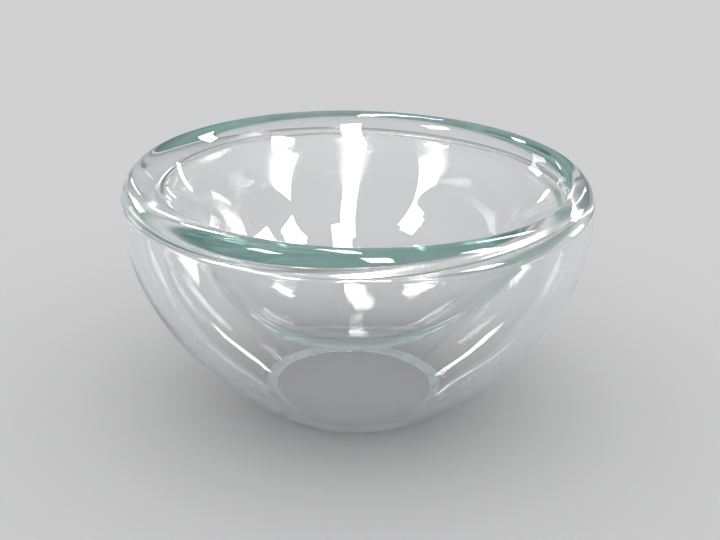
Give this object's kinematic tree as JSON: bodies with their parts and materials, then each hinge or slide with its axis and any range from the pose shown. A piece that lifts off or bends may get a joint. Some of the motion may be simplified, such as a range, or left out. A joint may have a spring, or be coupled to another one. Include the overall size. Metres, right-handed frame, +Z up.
{
  "type": "double-walled glass bowl",
  "caption": "Round double-walled bowl of clear blown glass: a swelling outer shell with a rolled rim, an inner dish hung from it, and a ground foot ring round an open base.",
  "frame": {"origin": "middle of the foot's flat ground face, where the bowl meets the table", "axes": "+Z up along the bowl's axis; X and Y lie in the table's plane, and any turn about Z is the same"},
  "size_m": [0.31, 0.31, 0.16],
  "materials": {
    "ground_glass": "ground and half polished cut face, with fine scratches",
    "shell_glass": "clear, fire polished, faint blue-green, slightly wavy",
    "rim_glass": "clear, fire polished, thick enough to show its blue-green",
    "dish_glass": "clear, fire polished, faint blue-green"
  },
  "bodies": {
    "root": {"foot_ring": "ground_glass", "outer_shell": "shell_glass", "rolled_rim": "rim_glass", "inner_dish": "dish_glass"}
  },
  "joints": []
}
